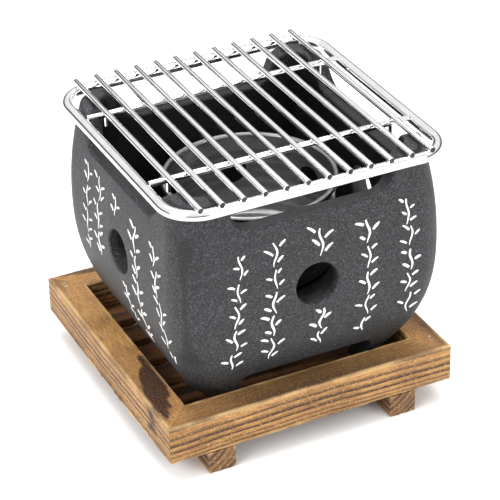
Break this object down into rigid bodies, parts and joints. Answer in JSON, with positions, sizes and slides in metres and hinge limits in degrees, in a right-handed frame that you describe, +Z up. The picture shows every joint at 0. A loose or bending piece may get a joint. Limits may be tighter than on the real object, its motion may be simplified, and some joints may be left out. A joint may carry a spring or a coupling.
{
  "type": "hibachi grill",
  "caption": "Square cast fire pot with vents and feet on a slatted wooden stand, with a round fuel cup inside and a lift-off wire rack on its rim.",
  "frame": {"origin": "middle of the stand's underside, on the surface that it stands on", "axes": "+Z up, -Y towards the front, +X to the right seen from the front"},
  "size_m": [0.1518, 0.15, 0.143],
  "materials": {
    "stained_pine_rails": "charred and stained pine, satin",
    "stained_pine_runners": "charred and stained pine, satin",
    "stained_pine_slats": "stained pine, satin",
    "zinc_plated_fixings": "zinc plated",
    "speckled_cast_pot": null,
    "brushed_cup_steel": "spun and brushed",
    "bright_rack_wire": "bright plated"
  },
  "bodies": {
    "stand": {"rail_front": "stained_pine_rails", "rail_right": "stained_pine_rails", "rail_back": "stained_pine_rails", "rail_left": "stained_pine_rails", "runner_left": "stained_pine_runners", "runner_right": "stained_pine_runners", "floor_slat_1": "stained_pine_slats", "floor_slat_2": "stained_pine_slats", "floor_slat_3": "stained_pine_slats", "floor_slat_4": "stained_pine_slats", "floor_slat_5": "stained_pine_slats", "floor_slat_6": "stained_pine_slats", "runner_screws": "zinc_plated_fixings", "slat_nails": "zinc_plated_fixings", "corner_brads": "zinc_plated_fixings"},
    "pot": {"fire_pot": "speckled_cast_pot"},
    "cup": {"fuel_cup": "brushed_cup_steel"},
    "rack": {"rack_frame": "bright_rack_wire", "rack_bar_01": "bright_rack_wire", "rack_bar_02": "bright_rack_wire", "rack_bar_03": "bright_rack_wire", "rack_bar_04": "bright_rack_wire", "rack_bar_05": "bright_rack_wire", "rack_bar_06": "bright_rack_wire", "rack_bar_07": "bright_rack_wire", "rack_bar_08": "bright_rack_wire", "rack_bar_09": "bright_rack_wire", "rack_bar_10": "bright_rack_wire", "rack_bar_11": "bright_rack_wire", "rack_bar_12": "bright_rack_wire", "cross_wire_front": "bright_rack_wire", "cross_wire_back": "bright_rack_wire", "rack_locating_pins": "bright_rack_wire"}
  },
  "joints": [
    {"name": "pot_lift", "type": "slide", "parent": "stand", "child": "pot", "axis": [0, 0, 1], "range_m": [0, 0.03]},
    {"name": "cup_lift", "type": "slide", "parent": "pot", "child": "cup", "axis": [0, 0, 1], "range_m": [0, 0.09]},
    {"name": "rack_lift", "type": "slide", "parent": "cup", "child": "rack", "axis": [0, 0, 1], "range_m": [0, 0.04]}
  ]
}
